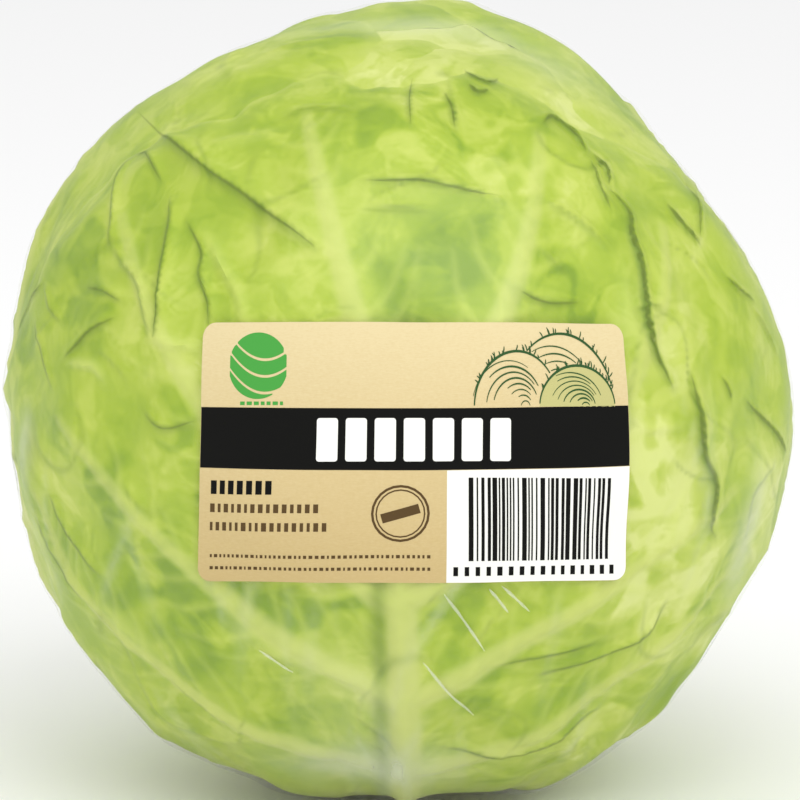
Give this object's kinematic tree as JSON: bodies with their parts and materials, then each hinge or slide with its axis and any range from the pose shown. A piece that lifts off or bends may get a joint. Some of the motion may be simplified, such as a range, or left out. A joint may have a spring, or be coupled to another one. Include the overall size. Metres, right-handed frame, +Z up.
{
  "type": "cabbage head in clear film",
  "caption": "Round head of green cabbage on its cut stump, with wrapped leaves, clear tight film and a plain paper label on the front.",
  "frame": {"origin": "centre of the stump's cut face, on the surface that the head stands on", "axes": "+Z up along the stump, out of the crown; the label and the front leaf face -Y; +X is to the right of someone facing the label"},
  "size_m": [0.1715, 0.1706, 0.1707],
  "materials": {
    "head_leaf": "pale green inner leaf, waxy",
    "wrapper_leaf": "fresh green leaf, waxy, with pale ribs",
    "stump": "cut stalk, pale and moist",
    "film": "clear glossy food film",
    "label": "uncoated brown kraft paper with flat printed blocks"
  },
  "bodies": {
    "root": {"head": "head_leaf", "stump": "stump", "leaf_1": "wrapper_leaf", "leaf_2": "wrapper_leaf", "leaf_3": "wrapper_leaf", "leaf_4": "wrapper_leaf", "leaf_5": "wrapper_leaf", "leaf_6": "wrapper_leaf", "film": "film", "label": "label"}
  },
  "joints": []
}
